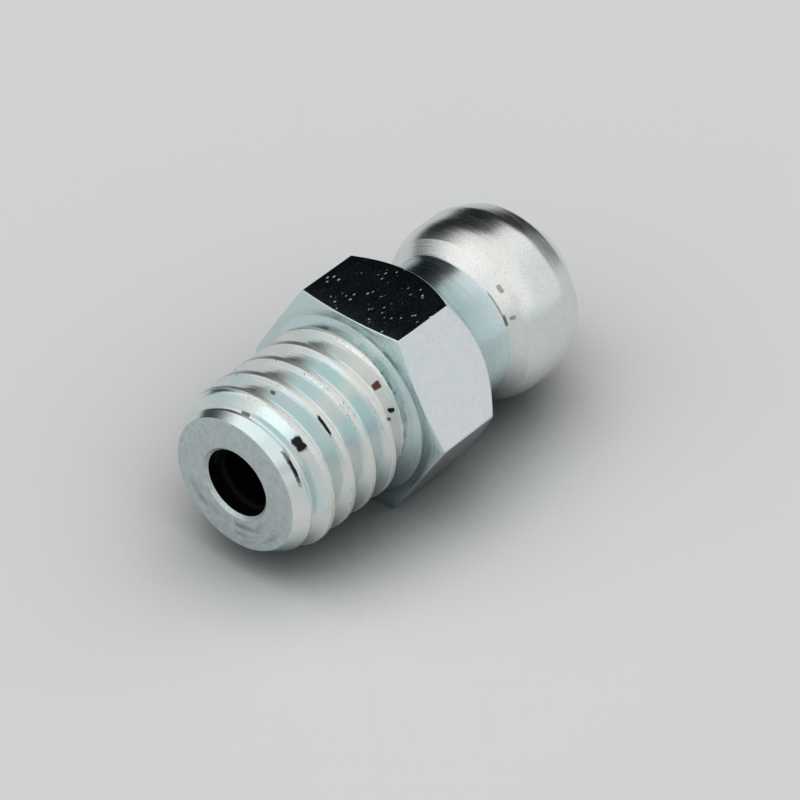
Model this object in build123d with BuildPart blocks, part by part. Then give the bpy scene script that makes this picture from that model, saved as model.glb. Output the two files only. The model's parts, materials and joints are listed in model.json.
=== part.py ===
import math
import os

from build123d import *
from build123d.topology import SkipClean

# Straight ball-check grease nipple, M6 x 1, with a 7 mm hexagon.
# The axis is X: the threaded end points to -X and the nipple head to +X.
# The origin is on the axis, in the plane of the hexagon's seating face.
# The nipple lies on one flat of its hexagon, so +Z is up. All sizes are millimetres.

# Thread and shank
thread_radius = 3.0            # major radius
thread_root_radius = 2.44
thread_pitch = 1.0             # right-hand
thread_crest_width = 0.2
flank_angle = 30               # from the plane across the axis
groove_x_on_top = -0.89        # a groove's centre, where it crosses the top of the shank
shank_length = 5.45            # seating face to end face
end_flat_radius = 2.42
lead_angle = 30                # lead cone at the end, from the axis
shank_sectors = 8              # keeps each strip of the crest short
first_sector_angle = 12.5      # from the top; no strip ends in a sliver at the lead or the relief

# Relief groove and flare under the hexagon
relief_start = 0.4             # seating face to the groove's edge on the crest
relief_wall_run = 0.05
relief_radius = 2.42
flare_radius = 3.2             # where the flare meets the seating face
flare_angle = 68               # from the axis
flare_root_fillet = 0.03

# Hexagon
across_flats = 7.0
hex_height = 3.25
seat_chamfer_radius = 3.5
seat_chamfer_angle = 15        # corners on the thread side, from the face
top_chamfer_radius = 3.42
top_chamfer_angle = 48         # corners on the head side, from the face

# Neck and head
neck_radius = 2.6
neck_root_fillet = 0.4
neck_end_x = 5.28
underside_x = 5.72             # where the underside rounds into the barrel
underside_radius = 3.02
head_radius = 3.275
head_land_start_x = 6.7
head_land_length = 0.7
nose_edge_x = 7.67
nose_edge_radius = 3.23
nose_shoulder_x = 8.4
nose_shoulder_radius = 2.98
nose_shoulder_fillet = 0.5
tip_x = 9.75
tip_radius = 1.45
tip_edge_length = 0.14
tip_edge_radius = 1.66

# Passage, from the staked mouth to the ball seat and the inlet in the tip
mouth_radius = 1.22
mouth_chamfer = 0.12
lip_depth = 0.2
bore_radius = 1.5
seat_half_angle = 30
inlet_radius = 1.0
inlet_depth = 0.5              # tip to the narrow end of the seat
inlet_flare_depth = 0.25
inlet_flare_radius = 1.2

# Staking mark: a shallow ring round the mouth
stake_radius = 1.72
stake_half_width = 0.14
stake_depth = 0.05

# Check ball and spring
ball_radius = 1.25
ball_clearance = 0.08          # ball to seat, along the axis
wire_radius = 0.15
wire_sides = 8                 # the turns repeat, so their wire has few sides
coil_clearance = 0.1           # coil to bore
end_clearance = 0.05           # each end of the spring, along the axis
active_turns = 6
end_coil_pitch = 0.33          # one closed turn at each end

overcut = 0.1                  # how far cutting shapes reach past a face
sector_angle = 360 / shank_sectors
groove_turns = 6
hex_overlap = 0.3              # head and hexagon are joined over this length

end_x = -shank_length
lead_end_x = end_x + (thread_radius - end_flat_radius) / math.tan(math.radians(lead_angle))
corner_radius = across_flats / 2 / math.cos(math.radians(30))
flank_slope = math.tan(math.radians(flank_angle))
seat_slope = math.tan(math.radians(seat_half_angle))

# Turned outlines, as (x, radius) points in the XZ plane
relief_floor_x = -relief_start + relief_wall_run
flare_root_x = -(flare_radius - relief_radius) / math.tan(math.radians(flare_angle))
seat_corner_x = (corner_radius - seat_chamfer_radius) * math.tan(math.radians(seat_chamfer_angle))
top_corner_x = hex_height - (corner_radius - top_chamfer_radius) * math.tan(
    math.radians(top_chamfer_angle)
)
land_end_x = head_land_start_x + head_land_length
neck_flare_radius = neck_radius + neck_root_fillet
tip_edge_x = tip_x - tip_edge_length
inlet_start_x = tip_x - inlet_depth
inlet_flare_x = tip_x - inlet_flare_depth
seat_start_x = inlet_start_x - (bore_radius - inlet_radius) / seat_slope

# Groove section, as half widths at its root and just above the crest
groove_top_radius = thread_radius + overcut
groove_root_half = (thread_pitch - thread_crest_width) / 2 - flank_slope * (
    thread_radius - thread_root_radius
)
groove_top_half = groove_root_half + flank_slope * (groove_top_radius - thread_root_radius)
groove_first_x = groove_x_on_top - (groove_turns - 1) * thread_pitch

# The ball rests against the seat cone, the spring's last coil against the ball
ball_touch_x = inlet_start_x + (inlet_radius - ball_radius / math.cos(math.radians(
    seat_half_angle))) / seat_slope
ball_x = ball_touch_x - ball_clearance
coil_radius = bore_radius - coil_clearance - wire_radius
ball_coil_gap = math.sqrt((ball_radius + wire_radius) ** 2 - coil_radius ** 2)
spring_head_x = ball_x - ball_coil_gap - end_clearance
lip_cone_x = end_x + lip_depth + (coil_radius - mouth_radius)
spring_foot_x = lip_cone_x + wire_radius * math.sqrt(2) + end_clearance
open_start_x = spring_foot_x + end_coil_pitch
open_end_x = spring_head_x - end_coil_pitch
open_length = open_end_x - open_start_x

os.makedirs("parts", exist_ok=True)

# The body: one turned and rolled piece, zinc plated. SkipClean keeps the crest in short strips.
with SkipClean(), BuildPart() as nipple_body:
    # Shank with its lead cone, turned in sectors
    with BuildSketch(Plane.XZ, mode=Mode.PRIVATE) as shank_outline:
        with BuildLine():
            Polyline(
                (end_x, 0),
                (end_x, end_flat_radius),
                (lead_end_x, thread_radius),
                (0, thread_radius),
                (0, 0),
                close=True,
            )
        make_face()
    for sector in range(shank_sectors):
        turned = first_sector_angle + sector * sector_angle
        outline = shank_outline.sketch.rotate(Axis.X, turned)
        revolve(outline.faces(), axis=Axis.X, revolution_arc=sector_angle)

    # Thread groove, one turn at a time, past both ends of the shank
    for turn in range(groove_turns):
        turn_start = (groove_first_x + turn * thread_pitch, 0, 0)
        with BuildSketch(Plane(turn_start, x_dir=(1, 0, 0), z_dir=(0, -1, 0))):
            with BuildLine():
                Polyline(
                    (-groove_root_half, thread_root_radius),
                    (groove_root_half, thread_root_radius),
                    (groove_top_half, groove_top_radius),
                    (-groove_top_half, groove_top_radius),
                    close=True,
                )
            make_face()
        turn_path = Edge.make_helix(
            thread_pitch,
            thread_pitch,
            thread_root_radius,
            center=turn_start,
            normal=(1, 0, 0),
        )
        sweep(path=turn_path, is_frenet=True, mode=Mode.SUBTRACT)

    # Relief groove behind the last thread
    with BuildSketch(Plane.XZ):
        with BuildLine():
            Polyline(
                (-relief_start, groove_top_radius),
                (-relief_start, thread_radius),
                (relief_floor_x, relief_radius),
                (overcut, relief_radius),
                (overcut, groove_top_radius),
                close=True,
            )
        make_face()
    revolve(axis=Axis.X, mode=Mode.SUBTRACT)

    # Flare from the relief up to the seating face
    with BuildSketch(Plane.XZ) as flare_outline:
        with BuildLine():
            Polyline(
                (relief_floor_x, 0),
                (relief_floor_x, relief_radius),
                (flare_root_x, relief_radius),
                (0, flare_radius),
                (0, 0),
                close=True,
            )
        make_face()
        flare_root = flare_outline.vertices().sort_by_distance((flare_root_x, relief_radius))[0]
        fillet(flare_root, flare_root_fillet)
    revolve(axis=Axis.X)

    # Hexagon, its corners turned off on both sides
    with BuildSketch(Plane.XZ, mode=Mode.PRIVATE) as hex_outline:
        with BuildLine():
            Polyline(
                (0, 0),
                (0, seat_chamfer_radius),
                (seat_corner_x, corner_radius),
                (top_corner_x, corner_radius),
                (hex_height, top_chamfer_radius),
                (hex_height, 0),
                close=True,
            )
        make_face()
    with BuildSketch(Plane.YZ, mode=Mode.PRIVATE) as hex_section:
        RegularPolygon(across_flats / 2, 6, major_radius=False)
    hex_bar = extrude(hex_section.sketch, hex_height, mode=Mode.PRIVATE)
    hex_turned = revolve(hex_outline.sketch.faces(), axis=Axis.X, mode=Mode.PRIVATE)
    add(hex_bar & hex_turned)

    # Neck and barrel head
    with BuildSketch(Plane.XZ) as head_outline:
        with BuildLine():
            Line((hex_height - hex_overlap, 0), (hex_height - hex_overlap, neck_flare_radius))
            Line((hex_height - hex_overlap, neck_flare_radius), (hex_height, neck_flare_radius))
            neck_root = RadiusArc(
                (hex_height, neck_flare_radius),
                (hex_height + neck_root_fillet, neck_radius),
                -neck_root_fillet,
            )
            Polyline(
                neck_root @ 1,
                (neck_end_x, neck_radius),
                (underside_x, underside_radius),
            )
            TangentArc(
                (head_land_start_x, head_radius),
                (underside_x, underside_radius),
                tangent=(-1, 0),
            )
            Line((head_land_start_x, head_radius), (land_end_x, head_radius))
            TangentArc(
                (land_end_x, head_radius),
                (nose_edge_x, nose_edge_radius),
                tangent=(1, 0),
            )
            Polyline(
                (nose_edge_x, nose_edge_radius),
                (nose_shoulder_x, nose_shoulder_radius),
                (tip_edge_x, tip_edge_radius),
                (tip_x, tip_radius),
                (tip_x, 0),
                (hex_height - hex_overlap, 0),
            )
        make_face()
        nose_shoulder = head_outline.vertices().sort_by_distance(
            (nose_shoulder_x, nose_shoulder_radius)
        )[0]
        fillet(nose_shoulder, nose_shoulder_fillet)
    revolve(axis=Axis.X)

    # Passage through the whole length
    with BuildSketch(Plane.XZ):
        with BuildLine():
            Polyline(
                (end_x - overcut, 0),
                (end_x - overcut, mouth_radius + mouth_chamfer + overcut),
                (end_x + mouth_chamfer, mouth_radius),
                (end_x + lip_depth, mouth_radius),
                (end_x + lip_depth + bore_radius - mouth_radius, bore_radius),
                (seat_start_x, bore_radius),
                (inlet_start_x, inlet_radius),
                (inlet_flare_x, inlet_radius),
                (tip_x, inlet_flare_radius),
                (tip_x + overcut, inlet_flare_radius),
                (tip_x + overcut, 0),
                close=True,
            )
        make_face()
    revolve(axis=Axis.X, mode=Mode.SUBTRACT)

    # Staking ring round the mouth
    with BuildSketch(Plane.XZ):
        with BuildLine():
            Polyline(
                (end_x - overcut, stake_radius - stake_half_width),
                (end_x, stake_radius - stake_half_width),
                (end_x + stake_depth, stake_radius),
                (end_x, stake_radius + stake_half_width),
                (end_x - overcut, stake_radius + stake_half_width),
                close=True,
            )
        make_face()
    revolve(axis=Axis.X, mode=Mode.SUBTRACT)
nipple_body.part.label = "nipple_body"
export_step(nipple_body.part, "parts/nipple_body.step")

# The check ball, pressed towards the seat in the head
with BuildPart(Plane.YZ.offset(ball_x)) as check_ball:
    Sphere(ball_radius)
check_ball.part.label = "check_ball"
export_step(check_ball.part, "parts/check_ball.step")

# The spring: a closed turn, the open turns and a closed turn, as (start, length, pitch)
spring_coils = (
    (spring_foot_x, end_coil_pitch, end_coil_pitch),
    (open_start_x, open_length, open_length / active_turns),
    (open_end_x, end_coil_pitch, end_coil_pitch),
)
with BuildPart() as check_spring:
    for coil_x, coil_length, coil_pitch in spring_coils:
        coil_path = Edge.make_helix(
            coil_pitch, coil_length, coil_radius, center=(coil_x, 0, 0), normal=(1, 0, 0)
        )
        with BuildSketch(Plane(coil_path @ 0, z_dir=coil_path % 0)):
            RegularPolygon(wire_radius, wire_sides)
        sweep(path=coil_path, is_frenet=True)
check_spring.part.label = "check_spring"
export_step(check_spring.part, "parts/check_spring.step")

for piece in (nipple_body, check_ball, check_spring):
    print(piece.part.label, piece.part.is_valid, round(piece.part.volume, 3), "mm3")
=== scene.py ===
import json
import math

import bmesh
import bpy
from mathutils import Matrix, Vector


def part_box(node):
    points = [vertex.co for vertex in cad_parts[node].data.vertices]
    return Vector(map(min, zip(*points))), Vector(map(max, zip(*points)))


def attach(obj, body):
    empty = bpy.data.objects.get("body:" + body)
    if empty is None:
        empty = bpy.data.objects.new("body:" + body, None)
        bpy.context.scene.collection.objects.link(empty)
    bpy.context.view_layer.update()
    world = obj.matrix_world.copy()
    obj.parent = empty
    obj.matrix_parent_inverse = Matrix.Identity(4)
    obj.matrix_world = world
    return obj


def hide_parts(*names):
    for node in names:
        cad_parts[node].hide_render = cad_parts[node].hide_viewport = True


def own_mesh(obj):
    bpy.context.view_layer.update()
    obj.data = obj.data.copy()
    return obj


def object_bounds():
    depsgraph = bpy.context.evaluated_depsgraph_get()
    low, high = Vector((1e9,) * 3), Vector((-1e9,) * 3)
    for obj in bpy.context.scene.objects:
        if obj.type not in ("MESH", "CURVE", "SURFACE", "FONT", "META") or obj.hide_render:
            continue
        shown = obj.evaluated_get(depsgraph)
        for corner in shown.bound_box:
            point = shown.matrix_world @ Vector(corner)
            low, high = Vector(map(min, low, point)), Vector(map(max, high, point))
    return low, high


# A straight grease nipple: threaded shank, hexagon, neck and barrel head, with a check ball and
# its spring inside. The axis is X and the threaded end points to -X. Shapes are worked out in
# millimetres and are brought to metres when a piece is finished.

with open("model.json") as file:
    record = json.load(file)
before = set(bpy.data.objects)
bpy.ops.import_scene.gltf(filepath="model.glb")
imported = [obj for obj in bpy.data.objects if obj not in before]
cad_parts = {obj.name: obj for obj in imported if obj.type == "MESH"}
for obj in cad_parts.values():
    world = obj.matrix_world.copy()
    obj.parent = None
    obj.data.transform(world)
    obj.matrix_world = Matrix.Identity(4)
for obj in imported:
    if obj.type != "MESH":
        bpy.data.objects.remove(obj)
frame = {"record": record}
cad_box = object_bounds()

MM = 0.001
STEPS = 192                    # steps round the axis, a multiple of six
AXIS = Vector((1, 0, 0))

mounts = {mount["name"]: mount for mount in frame["record"]["mounts"]}
body_low, body_high = (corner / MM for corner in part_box("nipple_body"))
ball_low, ball_high = (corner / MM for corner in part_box("check_ball"))
spring_low, spring_high = (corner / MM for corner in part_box("check_spring"))

end_x = body_low.x
tip_x = body_high.x
flat_distance = body_high.z    # axis to a flat of the hexagon
thread_radius = mounts["thread"]["dims"]["r_mm"]
head_radius = mounts["coupler_head"]["dims"]["r_mm"]
head_land_length = mounts["coupler_head"]["dims"]["length_mm"]
head_land_start_x = mounts["coupler_head"]["pos_m"][0] / MM - head_land_length / 2
head_land_end_x = head_land_start_x + head_land_length

# Thread and lead
thread_pitch = 1.0
thread_root_radius = 2.44
thread_crest_width = 0.2
flank_slope = math.tan(math.radians(30))
crest_rounding = 0.035
root_rounding = 0.07
groove_x_on_top = 0.11         # middle of the last root, straight above the axis
groove_turns = 8
thread_facet = 0.07            # longest stretch of the thread's outline
end_flat_radius = 2.42
end_rounding = 0.03
lead_slope = math.tan(math.radians(30))
lead_end_x = end_x + (thread_radius - end_flat_radius) / lead_slope

# Relief and flare
relief_start_x = -0.4
relief_floor_x = -0.35
relief_radius = 2.42
flare_radius = 3.2
flare_root_x = -(flare_radius - relief_radius) / math.tan(math.radians(68))
flare_root_fillet = 0.03
flare_edge_fillet = 0.02
burr_start_x = -0.26           # band of burrs on the flare
burr_end_x = -0.15
burr_fade = 0.04

# Hexagon
hex_height = 3.25
seat_chamfer_radius = 3.5
seat_chamfer_slope = math.tan(math.radians(15))
top_chamfer_radius = 3.42
top_chamfer_slope = math.tan(math.radians(48))
hex_edge_rounding = 0.04
hex_rim_rounding = 0.03
top_chamfer_foot = 0.02        # blend of the head-side chamfer into its face
face_ring_radius = 3.3         # plain ring of both faces, inside the chamfers
hex_crowding = 1.8             # draws the steps round the axis towards the hexagon's edges

# Neck, head and tip
neck_radius = 2.6
neck_root_fillet = 0.65
neck_end_x = 5.28
neck_end_fillet = 0.12
underside_x = 5.72
underside_radius = 3.02
underside_fillet = 0.15
nose_edge_x = 7.67
nose_edge_radius = 3.23
nose_shoulder_x = 8.4
nose_shoulder_radius = 2.98
nose_shoulder_fillet = 0.5
tip_edge_length = 0.14
tip_edge_radius = 1.66
tip_edge_fillet = 0.1
tip_radius = 1.45
tip_fillet = 0.04
tip_land = 0.05                # between the inlet's rim and the tip's edge
body_facet = 0.4               # longest stretch of the turned outline

# Passage and staking ring
inlet_radius = 1.0
inlet_depth = 0.5
inlet_flare_depth = 0.25
inlet_flare_radius = 1.2
inlet_rim_fillet = 0.03
bore_radius = 1.5
bore_fillet = 0.1
seat_slope = math.tan(math.radians(30))
seat_fillet = 0.04
mouth_radius = 1.22
mouth_chamfer = 0.12
mouth_fillet = 0.02
lip_depth = 0.2
lip_fillet = 0.04
lip_root_fillet = 0.05
stake_radius = 1.72
stake_half_width = 0.2
stake_fillet = 0.6
stake_depth = 0.014
stake_softest = 0.15           # share of the depth that is left at the top of the ring

# Spring
wire_radius = 0.15
wire_steps = 16
coil_steps = 64
active_turns = 6
end_coil_pitch = 0.33

ZONES = ("rolled_thread", "faced_end", "drawn_flat", "turned_head", "painted_shade_bore")


# Outlines, as (x, radius) points ------------------------------------------------------------

def rounded(corners, steps=4):
    """An outline through corners of x, radius and fillet, with an arc at each fillet."""
    points = []
    for number, (x, radius, fillet) in enumerate(corners):
        corner = Vector((x, radius))
        if not fillet:
            points.append(corner)
            continue
        back = (Vector(corners[number - 1][:2]) - corner).normalized()
        ahead = (Vector(corners[number + 1][:2]) - corner).normalized()
        half_angle = back.angle(ahead) / 2
        centre = corner + (back + ahead).normalized() * fillet / math.sin(half_angle)
        reach = fillet / math.tan(half_angle)
        start = corner + back * reach - centre
        turn = start.angle_signed(corner + ahead * reach - centre)
        for step in range(steps + 1):
            points.append(centre + Matrix.Rotation(-turn * step / steps, 2) @ start)
    return points


def arc_from_land(land, end, steps):
    """Points after the land's end on an arc that leaves it level and stops at end."""
    run = end.x - land.x
    drop = land.y - end.y
    radius = (run ** 2 + drop ** 2) / (2 * drop)
    sweep = math.asin(run / radius)
    return [
        land + radius * Vector((math.sin(sweep * step / steps), math.cos(sweep * step / steps) - 1))
        for step in range(1, steps + 1)
    ]


def divided(points, longest):
    """The outline with no stretch longer than that."""
    finer = points[:1]
    for start, end in zip(points, points[1:]):
        parts = math.ceil((end - start).length / longest - 1e-6)
        finer += [start.lerp(end, (part + 1) / parts) for part in range(parts)]
    return finer


def thread_outline():
    """One pitch of the thread, from the middle of a crest to the middle of the next."""
    half_crest = thread_crest_width / 2
    half_root = thread_pitch / 2 - half_crest - flank_slope * (thread_radius - thread_root_radius)
    centre = groove_x_on_top - (groove_turns - 1) * thread_pitch
    corners = [
        (centre - thread_pitch / 2, thread_radius, 0),
        (centre - thread_pitch / 2 + half_crest, thread_radius, crest_rounding),
        (centre - half_root, thread_root_radius, root_rounding),
        (centre + half_root, thread_root_radius, root_rounding),
        (centre + thread_pitch / 2 - half_crest, thread_radius, crest_rounding),
        (centre + thread_pitch / 2, thread_radius, 0),
    ]
    return divided(rounded(corners, 3), thread_facet)


def rim_curve(before, corner, after, steps=4):
    """A rounded rim between two points, drawn towards the corner between them."""
    curve = []
    for step in range(steps + 1):
        share = step / steps
        curve.append(before.lerp(corner, share).lerp(corner.lerp(after, share), share))
    return curve


def hexagon_outline(side):
    """The hexagon from seating face to head-side face, where its side is that far out."""
    def on_seat(radius):
        return Vector((max(0, radius - seat_chamfer_radius) * seat_chamfer_slope, radius))

    def on_top(radius):
        fall = max(0, radius - top_chamfer_radius) * top_chamfer_slope
        return Vector((hex_height - fall, radius))

    rim = hex_rim_rounding
    along = Vector((rim, 0))
    seat_edge, top_edge = on_seat(side), on_top(side)
    flat_start, flat_end = seat_edge + along, top_edge - along
    outline = [Vector((0, face_ring_radius)), on_seat(min(seat_chamfer_radius, side - 1.5 * rim))]
    outline += rim_curve(on_seat(side - rim), seat_edge, flat_start)
    outline += [flat_start.lerp(flat_end, share) for share in (0.25, 0.5, 0.75)]
    outline += rim_curve(flat_end, top_edge, on_top(side - 0.7 * rim))
    outline += rim_curve(
        on_top(top_chamfer_radius + top_chamfer_foot),
        on_top(top_chamfer_radius),
        on_top(top_chamfer_radius - 1.5 * top_chamfer_foot),
        2,
    )
    outline.append(Vector((hex_height, face_ring_radius)))
    return outline


def head_outline():
    """From the hexagon's head-side face over neck and head to the tip."""
    land_start = Vector((head_land_start_x, head_radius))
    land_end = Vector((head_land_end_x, head_radius))
    underside = arc_from_land(land_start, Vector((underside_x, underside_radius)), 12)
    nose_edge = arc_from_land(land_end, Vector((nose_edge_x, nose_edge_radius)), 4)
    neck = rounded([
        (hex_height, neck_radius + neck_root_fillet + 0.03, 0),
        (hex_height, neck_radius, neck_root_fillet),
        (neck_end_x, neck_radius, neck_end_fillet),
        (*underside[-1], underside_fillet),
        (*underside[-3], 0),
    ], 8)
    nose = rounded([
        (*nose_edge[-1], 0),
        (nose_shoulder_x, nose_shoulder_radius, nose_shoulder_fillet),
        (tip_x - tip_edge_length, tip_edge_radius, tip_edge_fillet),
        (tip_x, tip_radius, tip_fillet),
        (tip_x, inlet_flare_radius + tip_land, 0),
    ], 8)
    return neck + underside[-4::-1] + [land_start, land_end] + nose_edge[:-1] + nose


def passage_outline():
    """From the inlet's rim in the tip through the passage to the mouth and the end face."""
    inlet_start_x = tip_x - inlet_depth
    return rounded([
        (tip_x, inlet_flare_radius + tip_land, 0),
        (tip_x, inlet_flare_radius, inlet_rim_fillet),
        (tip_x - inlet_flare_depth, inlet_radius, bore_fillet),
        (inlet_start_x, inlet_radius, seat_fillet),
        (inlet_start_x - (bore_radius - inlet_radius) / seat_slope, bore_radius, bore_fillet),
        (end_x + lip_depth + bore_radius - mouth_radius, bore_radius, lip_root_fillet),
        (end_x + lip_depth, mouth_radius, lip_fillet),
        (end_x + mouth_chamfer, mouth_radius, mouth_fillet),
        (end_x, mouth_radius + mouth_chamfer, mouth_fillet),
        (end_x, stake_radius - stake_half_width, stake_fillet),
        (end_x + stake_depth, stake_radius, stake_fillet),
        (end_x, stake_radius + stake_half_width, stake_fillet),
        (end_x, end_flat_radius, end_rounding),
        (end_x + end_rounding, end_flat_radius + end_rounding * lead_slope, 0),
    ])


# Turning and screwing -----------------------------------------------------------------------

def draw(bm, points):
    """The outline as vertices, then edges, straight above the axis."""
    line = [bm.verts.new((point.x, 0, point.y)) for point in points]
    return line + [bm.edges.new(pair) for pair in zip(line, line[1:])]


def from_axis(place):
    """Distance from the axis, and angle round it from +Y towards +Z."""
    return math.hypot(place.y, place.z), math.atan2(place.z, place.y)


def cut_off(bm, x, side):
    """Removes what lies past x, on the side where x grows (1) or falls (-1)."""
    everything = bm.verts[:] + bm.edges[:] + bm.faces[:]
    bmesh.ops.bisect_plane(
        bm, geom=everything, dist=1e-5, plane_co=(x, 0, 0), plane_no=(side, 0, 0), clear_outer=True
    )


def settle_rim(bm, x):
    """Draws the rim at x to the angles of the steps, so that the next turned part meets it."""
    step = math.tau / STEPS
    places = {}
    targets = {}
    for vert in bm.verts:
        if abs(vert.co.x - x) > 1e-4:
            continue
        radius, angle = from_axis(vert.co)
        number = round(angle / step) % STEPS
        vert.co = (x, radius * math.cos(number * step), radius * math.sin(number * step))
        if number in places:
            targets[vert] = places[number]
        else:
            places[number] = vert
    bmesh.ops.weld_verts(bm, targetmap=targets)


def shank_limit(x):
    """How far out the shank reaches at x: lead cone, crest, relief wall and relief floor."""
    lead = end_flat_radius + (x - end_x) * lead_slope
    share = (x - relief_start_x) / (relief_floor_x - relief_start_x)
    relief = thread_radius + min(1, max(0, share)) * (relief_radius - thread_radius)
    return min(lead, relief)


def make_thread():
    """The screwed surface of the shank, trimmed by its lead cone and its relief."""
    bm = bmesh.new()
    bmesh.ops.spin(
        bm,
        geom=draw(bm, thread_outline()),
        axis=AXIS,
        dvec=AXIS * thread_pitch / STEPS,
        angle=math.tau,
        steps=STEPS,
    )
    one_turn = bm.verts[:] + bm.edges[:] + bm.faces[:]
    for turn in range(1, groove_turns):
        copied = bmesh.ops.duplicate(bm, geom=one_turn)["geom"]
        moved = [part for part in copied if isinstance(part, bmesh.types.BMVert)]
        bmesh.ops.translate(bm, vec=AXIS * thread_pitch * turn, verts=moved)
    bmesh.ops.remove_doubles(bm, verts=bm.verts, dist=1e-4)
    cut_off(bm, relief_floor_x, 1)
    cut_off(bm, end_x + end_rounding, -1)
    for x in (relief_start_x, lead_end_x):
        everything = bm.verts[:] + bm.edges[:] + bm.faces[:]
        bmesh.ops.bisect_plane(bm, geom=everything, dist=1e-5, plane_co=(x, 0, 0), plane_no=AXIS)
    for vert in bm.verts:
        radius = from_axis(vert.co)[0]
        share = min(1, shank_limit(vert.co.x) / radius)
        vert.co.yz = vert.co.yz * share
    settle_rim(bm, relief_floor_x)
    settle_rim(bm, end_x + end_rounding)
    return bm


def hexagon_side(angle):
    """Distance from the axis to the hexagon's side at that angle, its edges rounded."""
    from_edge = abs((angle + math.pi / 6) % (math.pi / 3) - math.pi / 6)
    edge_centre = (flat_distance - hex_edge_rounding) / math.cos(math.pi / 6)
    reach = hex_edge_rounding * Vector((math.cos(math.pi / 6), math.sin(math.pi / 6)))
    if from_edge > math.atan2(reach.y, edge_centre + reach.x):
        return flat_distance / math.cos(math.pi / 6 - from_edge)
    across = edge_centre * math.sin(from_edge)
    return edge_centre * math.cos(from_edge) + math.sqrt(hex_edge_rounding ** 2 - across ** 2)


def press_hexagon(bm, station):
    """Moves the turned hexagon's rings to its six flats and draws their steps to its edges."""
    sixth = math.pi / 6
    for vert in bm.verts:
        if not vert[station]:
            continue
        angle = from_axis(vert.co)[1]
        from_edge = (angle + sixth) % (2 * sixth) - sixth
        crowded = math.copysign(sixth * (abs(from_edge) / sixth) ** hex_crowding, from_edge)
        angle += crowded - from_edge
        x, radius = hexagon_outline(hexagon_side(angle))[vert[station] - 1]
        vert.co = (x, radius * math.cos(angle), radius * math.sin(angle))


def soften_stake(bm):
    """Fades the staking ring towards the top of the end face."""
    for vert in bm.verts:
        radius, angle = from_axis(vert.co)
        if abs(radius - stake_radius) < stake_half_width + 0.02 and vert.co.x < end_x + 0.1:
            share = stake_softest + (1 - stake_softest) * (0.5 - 0.5 * math.sin(angle)) ** 2
            vert.co.x = end_x + (vert.co.x - end_x) * share


def make_turned(first, hexagon, last):
    """All of the body but its thread: outlines before, over and after the hexagon."""
    bm = bmesh.new()
    station = bm.verts.layers.int.new("station")
    geom = draw(bm, first + hexagon + last)
    for number in range(len(hexagon)):
        geom[len(first) + number][station] = number + 1
    bmesh.ops.spin(bm, geom=geom, axis=AXIS, angle=math.tau, steps=STEPS, use_merge=True)
    press_hexagon(bm, station)
    soften_stake(bm)
    return bm


# Pieces -------------------------------------------------------------------------------------

def finished(name, bm, finishes, zone_of=None):
    """The bmesh as a piece in metres, with its normals outwards and each face in its finish."""
    bmesh.ops.remove_doubles(bm, verts=bm.verts, dist=1e-4)
    bmesh.ops.recalc_face_normals(bm, faces=bm.faces)
    for face in bm.faces:
        face.smooth = True
        face.material_index = zone_of(face) if zone_of else 0
    bmesh.ops.scale(bm, vec=(MM, MM, MM), verts=bm.verts)
    mesh = bpy.data.meshes.new(name)
    bm.to_mesh(mesh)
    bm.free()
    for finish in finishes:
        mesh.materials.append(finish)
    piece = bpy.data.objects.new(name, mesh)
    bpy.context.scene.collection.objects.link(piece)
    return piece


def zone_of_body(face):
    """Which of the body's finishes a face has, from where it lies and how it faces."""
    place = face.calc_center_median()
    radius = from_axis(place)[0]
    if radius < bore_radius + 0.01 and end_x + mouth_chamfer < place.x < tip_x - inlet_flare_depth:
        zone = "painted_shade_bore"
    elif place.x < end_x + end_rounding / 2 or radius < bore_radius and place.x < 0:
        zone = "faced_end"
    elif place.x < relief_floor_x:
        zone = "rolled_thread"
    elif 0 < place.x < hex_height and abs(face.normal.x) < 0.3 and radius > neck_radius + 0.5:
        zone = "drawn_flat"
    else:
        zone = "turned_head"
    return ZONES.index(zone)


def make_body(finishes):
    """The nipple's body: thread, hexagon, neck, head and passage in one closed skin."""
    flare = rounded([
        (relief_floor_x, relief_radius, 0),
        (flare_root_x, relief_radius, flare_root_fillet),
        (0, flare_radius, flare_edge_fillet),
        (0, face_ring_radius, 0),
    ])
    edge_on = hexagon_outline(hexagon_side(0))
    last = divided(head_outline() + passage_outline()[1:], body_facet)
    turned = make_turned(flare[:-1], edge_on, last)
    thread = make_thread()
    scratch = bpy.data.meshes.new("scratch")
    thread.to_mesh(scratch)
    thread.free()
    turned.from_mesh(scratch)
    bpy.data.meshes.remove(scratch)
    return finished("nipple_skin", turned, finishes, zone_of_body)


def make_ball(finish):
    """The check ball."""
    bm = bmesh.new()
    centre = (ball_low + ball_high) / 2
    radius = (ball_high.x - ball_low.x) / 2
    bmesh.ops.create_icosphere(
        bm, subdivisions=5, radius=radius, matrix=Matrix.Translation(centre)
    )
    return finished("ground_ball", bm, [finish])


def make_spring(finish):
    """The check spring: a closed turn, the open turns and a closed turn, with flat wire ends."""
    coil_radius = spring_high.y - wire_radius
    start_x = spring_low.x + wire_radius
    open_length = spring_high.x - spring_low.x - 2 * wire_radius - 2 * end_coil_pitch
    bm = bmesh.new()
    lie = Matrix.Translation((start_x, coil_radius, 0))
    ring = bmesh.ops.create_circle(bm, segments=wire_steps, radius=wire_radius, matrix=lie)
    geom = ring["verts"] + list({edge for vert in ring["verts"] for edge in vert.link_edges})
    for turns, length in ((1, end_coil_pitch), (active_turns, open_length), (1, end_coil_pitch)):
        steps = coil_steps * turns
        rise = AXIS * length / steps
        spun = bmesh.ops.spin(
            bm, geom=geom, axis=AXIS, dvec=rise, angle=math.tau * turns, steps=steps
        )
        geom = spun["geom_last"]
    bmesh.ops.holes_fill(bm, edges=bm.edges, sides=wire_steps)
    return finished("wound_spring", bm, [finish])


# Finishes -----------------------------------------------------------------------------------

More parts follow.
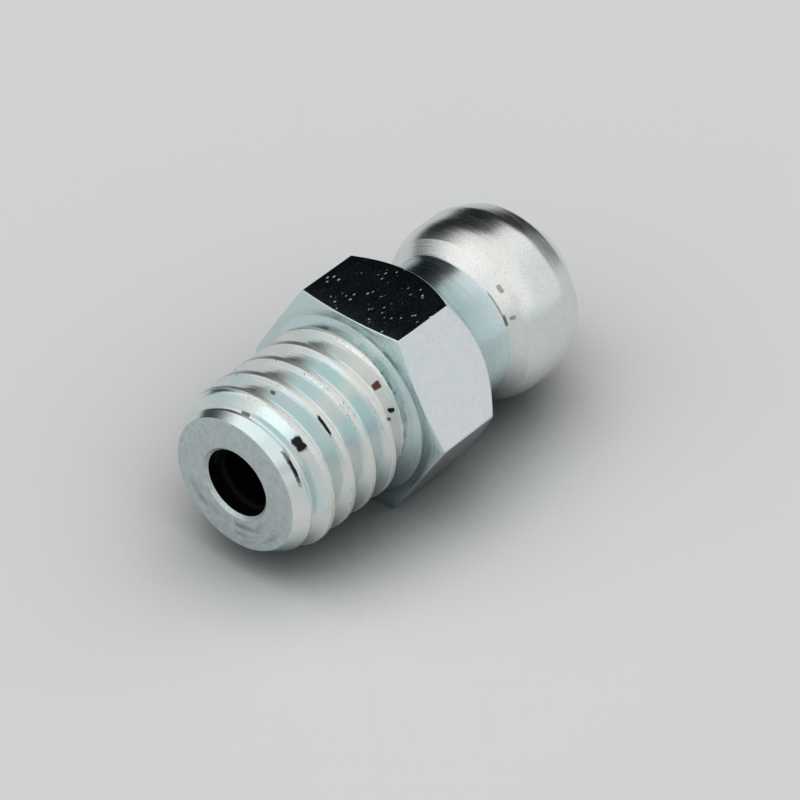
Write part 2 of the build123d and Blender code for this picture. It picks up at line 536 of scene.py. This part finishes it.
class Value:
    """A socket's output. Python's operators on it add Math nodes."""

    def __init__(self, nodes, socket):
        self.nodes = nodes
        self.socket = socket

    def __add__(self, other):
        return self.nodes.math("ADD", self, other)

    def __sub__(self, other):
        return self.nodes.math("SUBTRACT", self, other)

    def __rsub__(self, other):
        return self.nodes.math("SUBTRACT", other, self)

    def __mul__(self, other):
        return self.nodes.math("MULTIPLY", self, other)

    def __truediv__(self, other):
        return self.nodes.math("DIVIDE", self, other)

    def __pow__(self, other):
        return self.nodes.math("POWER", self, other)

    __radd__ = __add__
    __rmul__ = __mul__


class Nodes:
    """A node tree that is filled by calls."""

    def __init__(self, owner):
        owner.use_nodes = True
        self.tree = owner.node_tree
        self.tree.nodes.clear()

    def add(self, kind, settings=None, inputs=None, out=0):
        """A node with its settings set first, then the values or links of its sockets."""
        node = self.tree.nodes.new(kind)
        for name, value in (settings or {}).items():
            setattr(node, name, value)
        for name, value in (inputs or {}).items():
            if isinstance(value, Value):
                self.tree.links.new(value.socket, node.inputs[name])
            else:
                node.inputs[name].default_value = value
        return Value(self, node.outputs[out]) if node.outputs else None

    def math(self, operation, *values):
        return self.add("ShaderNodeMath", {"operation": operation}, dict(enumerate(values)))

    def blend(self, share, first, second):
        """Two colours mixed."""
        return self.add("ShaderNodeMix", {"data_type": "RGBA"}, {0: share, 6: first, 7: second}, 2)

    def smooth(self, value, low, high):
        """0 below low and 1 above high, or the other way round where low is the higher."""
        return self.add(
            "ShaderNodeMapRange",
            {"interpolation_type": "SMOOTHSTEP"},
            {"Value": value, "From Min": low, "From Max": high},
        )


class Finish(Nodes):
    """A metal's nodes: places in millimetres, and the shader they end in."""

    def __init__(self, name):
        self.material = bpy.data.materials.new(name)
        super().__init__(self.material)
        place = self.add("ShaderNodeTexCoord", out="Object")
        self.place = self.add(
            "ShaderNodeVectorMath", {"operation": "SCALE"}, {0: place, "Scale": 1 / MM}
        )
        self.x, self.y, self.z = (
            self.add("ShaderNodeSeparateXYZ", inputs={0: self.place}, out=axis) for axis in "XYZ"
        )
        self.radius = (self.y * self.y + self.z * self.z) ** 0.5
        self.turn = self.math("ARCTAN2", self.y, self.z) / math.tau

    def at(self, x, y, z):
        """A vector of three values."""
        return self.add("ShaderNodeCombineXYZ", inputs={0: x, 1: y, 2: z})

    def noise(self, vector, scale, detail=2, roughness=0.5):
        inputs = {"Vector": vector, "Scale": scale, "Detail": detail, "Roughness": roughness}
        return self.add("ShaderNodeTexNoise", inputs=inputs)

    def bump(self, height, distance):
        """A normal from a height of 0 to 1, so many millimetres high."""
        inputs = {"Height": height, "Distance": distance * MM, "Strength": 1}
        return self.add("ShaderNodeBump", inputs=inputs)

    def metal(self, colour, roughness, normal):
        """Ends the nodes in a metal shader."""
        inputs = {"Base Color": colour, "Roughness": roughness, "Metallic": 1, "Normal": normal}
        shader = self.add("ShaderNodeBsdfPrincipled", inputs=inputs)
        self.add("ShaderNodeOutputMaterial", inputs={"Surface": shader})
        return self.material


ZINC_WHITE = (0.79, 0.80, 0.78, 1)
ZINC_TEAL = (0.64, 0.77, 0.78, 1)
ZINC_LILAC = (0.73, 0.72, 0.75, 1)
CREAM_ZINC = (0.78, 0.75, 0.71, 1)
PALE_ZINC = (0.68, 0.72, 0.73, 1)
DULL_ZINC = (0.47, 0.53, 0.54, 1)
GREY_ZINC = (0.57, 0.64, 0.65, 1)
PIT = (0.10, 0.11, 0.10, 1)
# Painted shade of the staking ring, in broken arcs on the end face's lower part.
STAKE_PAINTED_SHADE = (0.24, 0.25, 0.25, 1)
# Black of stains, and of a painted dark reflection on a thread flank.
BLACK_STAIN_AND_PAINTED_REFLECTION = (0.02, 0.02, 0.02, 1)
GREY_STAIN = (0.17, 0.19, 0.18, 1)
STREAK = (0.36, 0.37, 0.33, 1)
RUST = (0.13, 0.07, 0.05, 1)
# Painted shade for the neck, between the hexagon and the head.
NECK_PAINTED_SHADE = (0.32, 0.42, 0.43, 1)
DARK_STEEL = (0.10, 0.10, 0.10, 1)
# Painted shade inside the passage, on the bore and the spring.
PAINTED_SHADE_STEEL = (0.012, 0.012, 0.012, 1)


def zinc_colour(nodes, teal, dulling):
    """Bright zinc plating, which drifts between white, teal and lilac, with a fine grain."""
    drift = nodes.noise(nodes.place, 0.45, 2)
    tint = nodes.blend(nodes.smooth(drift + teal, 0.87, 1.13), ZINC_WHITE, ZINC_TEAL)
    fleck = nodes.noise(nodes.place, 1.3, 2)
    tint = nodes.blend(nodes.smooth(fleck, 0.52, 0.7) * 0.5, tint, ZINC_LILAC)
    grain = nodes.noise(nodes.place, 16, 2)
    return nodes.blend(nodes.smooth(grain, 0.4, 0.75) * dulling, tint, DULL_ZINC)


def with_marks(nodes, colour, marks):
    """Stains and painted reflections on the colour: x, radius, angle, half sizes along, out and
    round, colour.
    """
    ragged = nodes.noise(nodes.place, 7, 3) - 0.5
    for x, radius, angle, along, out, around, mark_colour in marks:
        turned = (nodes.turn - (angle - 90) / 360) * (math.tau * radius / around)
        lengthwise = (nodes.x - x) / along
        outwards = (nodes.radius - radius) / out
        reach = (turned ** 4 + lengthwise ** 4 + outwards ** 4) ** 0.25 + ragged * 0.9
        colour = nodes.blend(nodes.smooth(reach, 1.2, 0.8), colour, mark_colour)
    return colour


THREAD_STAINS_AND_PAINTED_REFLECTION = (
    # Painted reflection: this black spot on a flank of the first thread stands for a dark
    # reflection.
    (-4.49, 2.81, 48.5, 0.15, 0.17, 0.27, BLACK_STAIN_AND_PAINTED_REFLECTION),
    (-3.39, 2.97, 48.4, 0.05, 0.045, 0.36, BLACK_STAIN_AND_PAINTED_REFLECTION),
    (-5.06, 2.645, 38, 0.06, 0.055, 0.6, GREY_STAIN),
    (-5.05, 2.65, 37, 0.035, 0.04, 0.36, BLACK_STAIN_AND_PAINTED_REFLECTION),
    (-0.59, 2.64, 49, 0.13, 0.14, 0.13, RUST),
    (-0.52, 2.65, 28.5, 0.1, 0.1, 0.09, BLACK_STAIN_AND_PAINTED_REFLECTION),
    (-0.61, 2.48, 22, 0.06, 0.06, 0.06, GREY_STAIN),
    (-3.67, 2.7, 89, 0.06, 0.06, 0.09, GREY_STAIN),
    (-4.81, 2.47, 92, 0.05, 0.06, 0.16, GREY_STAIN),
)
HEAD_STAINS = (
    (5.6, 2.91, 52, 0.06, 0.1, 0.16, STREAK),
    (5.33, 2.65, 31, 0.04, 0.06, 0.2, GREY_STAIN),
    (5.52, 2.83, 31, 0.1, 0.1, 0.07, STREAK),
    (5.31, 2.64, 45, 0.03, 0.05, 0.5, STREAK),
)


def make_thread_finish():
    """Rolled thread: smooth flanks, and matt crests that are pitted in places."""
    nodes = Finish("rolled_thread_zinc")
    crest = nodes.smooth(nodes.radius, thread_radius - 0.07, thread_radius - 0.02)
    border = nodes.smooth(nodes.radius, thread_radius - 0.16, thread_radius - 0.06)
    along = nodes.x + nodes.turn * thread_pitch
    lines = nodes.noise(nodes.at(along * 14, nodes.radius * 14, nodes.turn * 3), 1, 2)
    grain = nodes.noise(nodes.place, 9, 3)
    worn = nodes.smooth(nodes.noise(nodes.place, 0.8, 2), 0.45, 0.6)
    pits = nodes.smooth(nodes.noise(nodes.place, 18, 1), 0.62, 0.72) * border * worn
    colour = nodes.blend(crest * 0.6, zinc_colour(nodes, 0.52, 0.15), CREAM_ZINC)
    colour = nodes.blend(pits * 0.7, colour, PIT)
    colour = with_marks(nodes, colour, THREAD_STAINS_AND_PAINTED_REFLECTION)
    roughness = 0.16 + grain * 0.1 + crest * 0.2
    height = lines * 0.6 + grain * 0.5 + grain * crest - pits
    return nodes.metal(colour, roughness, nodes.bump(height, 0.005))


def make_turned_finish():
    """Turned surfaces: plating over rings, more teal off the head, painted shade in the neck."""
    nodes = Finish("turned_zinc")
    head = nodes.smooth(nodes.x, neck_end_x - 0.18, neck_end_x + 0.12)
    rings = nodes.noise(nodes.at(nodes.x + nodes.radius, nodes.turn * 2.5, 0), 6, 4, 0.65)
    grain = nodes.noise(nodes.place, 14, 2)
    roughness = 0.17 + rings * 0.16
    colour = zinc_colour(nodes, 0.95 - head * 0.65, 0.35)
    past_hexagon = nodes.smooth(nodes.x, hex_height - 0.15, hex_height + 0.05)
    in_neck = past_hexagon * nodes.smooth(nodes.radius, neck_radius + 0.75, neck_radius + 0.5)
    # Painted shade in the neck, deeper towards the top as a painted dark reflection.
    overlay = 0.25 + rings * 0.6 + nodes.smooth(nodes.z, 1.6, 2.5) * 0.35
    overlay = overlay * in_neck * nodes.smooth(nodes.x, 5.6, 3.8)
    colour = nodes.blend(overlay, colour, NECK_PAINTED_SHADE)
    colour = with_marks(nodes, colour, HEAD_STAINS)
    burrs = nodes.smooth(nodes.noise(nodes.at(nodes.x, nodes.turn * 9, 0), 9, 1), 0.52, 0.6)
    burrs = burrs * nodes.smooth(nodes.x, burr_start_x, burr_start_x + burr_fade)
    burrs = burrs * nodes.smooth(nodes.x, burr_end_x, burr_end_x - burr_fade)
    colour = nodes.blend(burrs * nodes.smooth(nodes.z, 0.8, 1.5) * 0.6, colour, PIT)
    return nodes.metal(colour, roughness, nodes.bump(rings + grain * 0.12, 0.01))


def make_flat_finish():
    """Flats of the drawn hexagon bar: lines along it, and short dents, mostly on the top flats."""
    nodes = Finish("drawn_zinc")
    lines = nodes.noise(nodes.at(nodes.x * 0.5, nodes.y * 9, nodes.z * 9), 1, 3, 0.6)
    stretched = nodes.at(nodes.x * 3.2, nodes.y * 7, nodes.z * 7)
    dents = nodes.add("ShaderNodeTexVoronoi", {"feature": "F1"}, {"Vector": stretched, "Scale": 1})
    sparse = nodes.smooth(nodes.noise(nodes.place, 1.4, 2), 0.38, 0.56)
    depth = nodes.smooth(nodes.noise(nodes.place, 3.5, 1), 0.15, 0.7)
    pits = nodes.smooth(dents, 0.3, 0.05) * sparse * depth
    on_top = nodes.smooth(nodes.z, flat_distance - 1.3, flat_distance - 0.3)
    pits = pits * (on_top * 0.8 + 0.2)
    mottle = nodes.noise(nodes.place, 2, 4, 0.6)
    colour = nodes.blend(nodes.smooth(mottle, 0.35, 0.65), ZINC_LILAC, PALE_ZINC)
    patches = nodes.smooth(nodes.noise(nodes.place, 5, 4, 0.6), 0.48, 0.72)
    colour = nodes.blend(patches * 0.2, colour, DULL_ZINC)
    roughness = 0.1 + lines * 0.07 + pits * 0.1
    return nodes.metal(colour, roughness, nodes.bump(lines * 0.3 - pits, 0.008))


def make_end_finish():
    """The faced end: dull, mottled plating over fine rings, and painted shade on the staking ring's
    lower arcs.
    """
    nodes = Finish("faced_zinc")
    rings = nodes.noise(nodes.at(nodes.radius, nodes.turn * 0.6, 0), 12, 3, 0.6)
    mottle = nodes.noise(nodes.place, 4, 5, 0.7)
    colour = nodes.blend(nodes.smooth(mottle, 0.3, 0.7), DULL_ZINC, GREY_ZINC)
    grain = nodes.noise(nodes.place, 18, 2)
    colour = nodes.blend(nodes.smooth(grain, 0.55, 0.75) * 0.4, colour, PIT)
    # Painted shade: broken dark arcs on the lower part of the staking ring.
    stake_arcs = nodes.noise(nodes.at(nodes.radius, nodes.turn * 2.2, 0), 3.5, 3)
    lower_stake_ring = nodes.smooth(nodes.radius, stake_radius - 0.32, stake_radius - 0.07)
    lower_stake_ring = lower_stake_ring * nodes.smooth(nodes.radius, stake_radius + 0.58, stake_radius + 0.23)
    lower_stake_ring = lower_stake_ring * nodes.smooth(nodes.z, -0.4, -1.4)
    colour = nodes.blend(nodes.smooth(stake_arcs, 0.46, 0.66) * lower_stake_ring * 0.75, colour, STAKE_PAINTED_SHADE)
    return nodes.metal(colour, 0.36 + mottle * 0.2, nodes.bump(rings + mottle * 1.5, 0.006))


def make_dark_finish(name, colour, scale):
    """Dark steel with mottled roughness and bump; in the bore and on the spring the dark is painted
    shade.
    """
    nodes = Finish(name)
    overlay = nodes.noise(nodes.place, scale, 2)
    return nodes.metal(colour, 0.6 + overlay * 0.3, nodes.bump(overlay, 0.003))


# Stage --------------------------------------------------------------------------------------

ROOM_LOW = (0.54, 0.60, 0.61, 1)
ROOM_HIGH = (1.0, 1.0, 0.99, 1)
FLOOR_PALE = (0.76, 0.77, 0.77, 1)
# The floor's shade colour is painted shade, laid where the object is near.
FLOOR_SHADE = (0.11, 0.12, 0.12, 1)
SHADE_REACH = 10               # millimetres that the object darkens the floor round it
KEY_FROM = (150, 60)           # azimuth and elevation, degrees
KEY_DISTANCE = 0.3             # metres
KEY_SIZE = 0.25                # metres
KEY_POWER = 0.03               # watts
CAMERA_FROM = (-140.93, 39.48)
CAMERA_DISTANCE = 0.15         # metres
CAMERA_TARGET = (1.199, -1.272, 0.044)
CAMERA_LENS = 208.3
CAMERA_ROLL = 1.31             # degrees


def direction(azimuth, elevation):
    """The direction so many degrees round from +X and up from the floor."""
    azimuth, elevation = math.radians(azimuth), math.radians(elevation)
    flat = math.cos(elevation)
    return Vector((math.cos(azimuth) * flat, math.sin(azimuth) * flat, math.sin(elevation)))


# Softer and darker places of the room: azimuth, elevation, half width, width of the edge, colour
PANELS = (
    (-38, 18, 30, 18, (0.80, 0.83, 0.84)),
    (180, 10, 22, 16, (1.08, 1.12, 1.11)),
    (172, 6, 12, 8, (1.40, 1.42, 1.40)),
    (-118, 25, 9, 14, (0.55, 0.58, 0.59)),
    (2, 4, 18, 20, (0.10, 0.12, 0.12)),
    (80, 18, 30, 34, (0.05, 0.06, 0.06)),
    (42, 11, 37, 10, (0.0, 0.002, 0.003)),
    (41, 39, 14, 7, (0.0, 0.002, 0.003)),
)


def light_world():
    """A pale room that is brighter overhead, with soft panels, light and dark."""
    world = bpy.data.worlds.new("studio")
    bpy.context.scene.world = world
    nodes = Nodes(world)
    look = nodes.add("ShaderNodeTexCoord", out="Generated")
    height = nodes.add("ShaderNodeSeparateXYZ", inputs={0: look}, out="Z")
    rise = nodes.smooth(height, -0.02, 0.42)
    colour = nodes.blend(rise, ROOM_LOW, ROOM_HIGH)
    for azimuth, elevation, half_width, edge, tint in PANELS:
        centre = direction(azimuth, elevation)
        nearness = nodes.add(
            "ShaderNodeVectorMath", {"operation": "DOT_PRODUCT"}, {0: look, 1: centre}, "Value"
        )
        angle = nodes.math("ARCCOSINE", nearness)
        inner, outer = math.radians(half_width - edge / 2), math.radians(half_width + edge / 2)
        colour = nodes.blend(nodes.smooth(angle, outer, inner), colour, (*tint, 1))
    background = nodes.add("ShaderNodeBackground", inputs={"Color": colour, "Strength": 1})
    nodes.add("ShaderNodeOutputWorld", inputs={"Surface": background})


def add_key_light():
    """A soft key light, for the shadow on the floor."""
    light = bpy.data.lights.new("key", "AREA")
    light.size = KEY_SIZE
    light.energy = KEY_POWER
    key = bpy.data.objects.new("key", light)
    towards = direction(*KEY_FROM)
    key.location = towards * KEY_DISTANCE
    key.rotation_euler = towards.to_track_quat("Z", "Y").to_euler()
    bpy.context.scene.collection.objects.link(key)


def add_floor():
    """A plain pale floor under the hexagon's lowest flat, with painted shade close to the object.
    """
    bm = bmesh.new()
    bmesh.ops.create_grid(
        bm, x_segments=1, y_segments=1, size=2, matrix=Matrix.Translation((0, 0, cad_box[0][2]))
    )
    mesh = bpy.data.meshes.new("floor")
    bm.to_mesh(mesh)
    bm.free()
    floor = bpy.data.objects.new("floor", mesh)
    bpy.context.scene.collection.objects.link(floor)
    material = bpy.data.materials.new("pale_floor")
    nodes = Nodes(material)
    openness = nodes.add(
        "ShaderNodeAmbientOcclusion", {"samples": 8}, {"Distance": SHADE_REACH * MM}, "AO"
    )
    # Painted shade: the floor's colour darkens where ambient occlusion finds the object near.
    colour = nodes.blend(nodes.smooth(openness, 0.2, 0.95), FLOOR_SHADE, FLOOR_PALE)
    shader = nodes.add(
        "ShaderNodeBsdfPrincipled",
        inputs={"Base Color": colour, "Roughness": 1, "Specular IOR Level": 0},
    )
    nodes.add("ShaderNodeOutputMaterial", inputs={"Surface": shader})
    mesh.materials.append(material)


def add_camera():
    """The camera, in front of the threaded end, to its right and above."""
    camera = bpy.data.cameras.new("camera")
    camera.lens = CAMERA_LENS
    camera.sensor_width = 36
    camera.clip_start = 0.01
    viewer = bpy.data.objects.new("camera", camera)
    away = direction(*CAMERA_FROM)
    viewer.location = Vector(CAMERA_TARGET) * MM + away * CAMERA_DISTANCE
    roll = Matrix.Rotation(math.radians(CAMERA_ROLL), 3, "Z")
    viewer.rotation_euler = (away.to_track_quat("Z", "Y").to_matrix() @ roll).to_euler()
    bpy.context.scene.collection.objects.link(viewer)
    bpy.context.scene.camera = viewer


# Assembly -----------------------------------------------------------------------------------

# The bore's near-black colour is painted shade.
painted_shade_bore = make_dark_finish("painted_shade_bore", PAINTED_SHADE_STEEL, 4)
body = make_body([
    make_thread_finish(), make_end_finish(), make_flat_finish(), make_turned_finish(), painted_shade_bore
])
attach(body, "nipple")
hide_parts("nipple_body")

ball = make_ball(make_dark_finish("ground_steel", DARK_STEEL, 3))
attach(ball, "ball")
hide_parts("check_ball")

# The spring's near-black colour is painted shade.
spring = make_spring(make_dark_finish("spring_wire", PAINTED_SHADE_STEEL, 6))
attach(spring, "nipple")
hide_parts("check_spring")
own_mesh(spring)

light_world()
add_key_light()
add_floor()
add_camera()

bpy.context.scene.view_settings.view_transform = "Standard"
